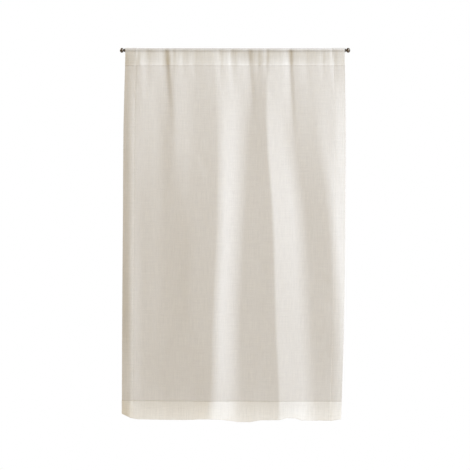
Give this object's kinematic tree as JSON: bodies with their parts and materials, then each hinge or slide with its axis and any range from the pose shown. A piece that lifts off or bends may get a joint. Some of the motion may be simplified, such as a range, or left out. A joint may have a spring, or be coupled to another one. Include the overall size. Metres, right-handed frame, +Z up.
{
  "type": "cafe curtain on a rod",
  "caption": "Off-white linen-look cafe curtain panel hanging in soft uneven folds from a pocket on a slim dark rod with small ball finials.",
  "frame": {"origin": "middle of the rod's axis, where the rod's own holders carry it", "axes": "+X to the viewer's right along the rod, the front of the cloth faces -Y, +Z up"},
  "size_m": [0.7074, 0.0585, 1.1492],
  "materials": {
    "cloth": "slubby semi-sheer plain weave, matt",
    "rod_metal": "dark bronze, satin"
  },
  "bodies": {
    "root": {"panel": "cloth", "rod": "rod_metal", "finial_left": "rod_metal", "finial_right": "rod_metal"}
  },
  "joints": []
}
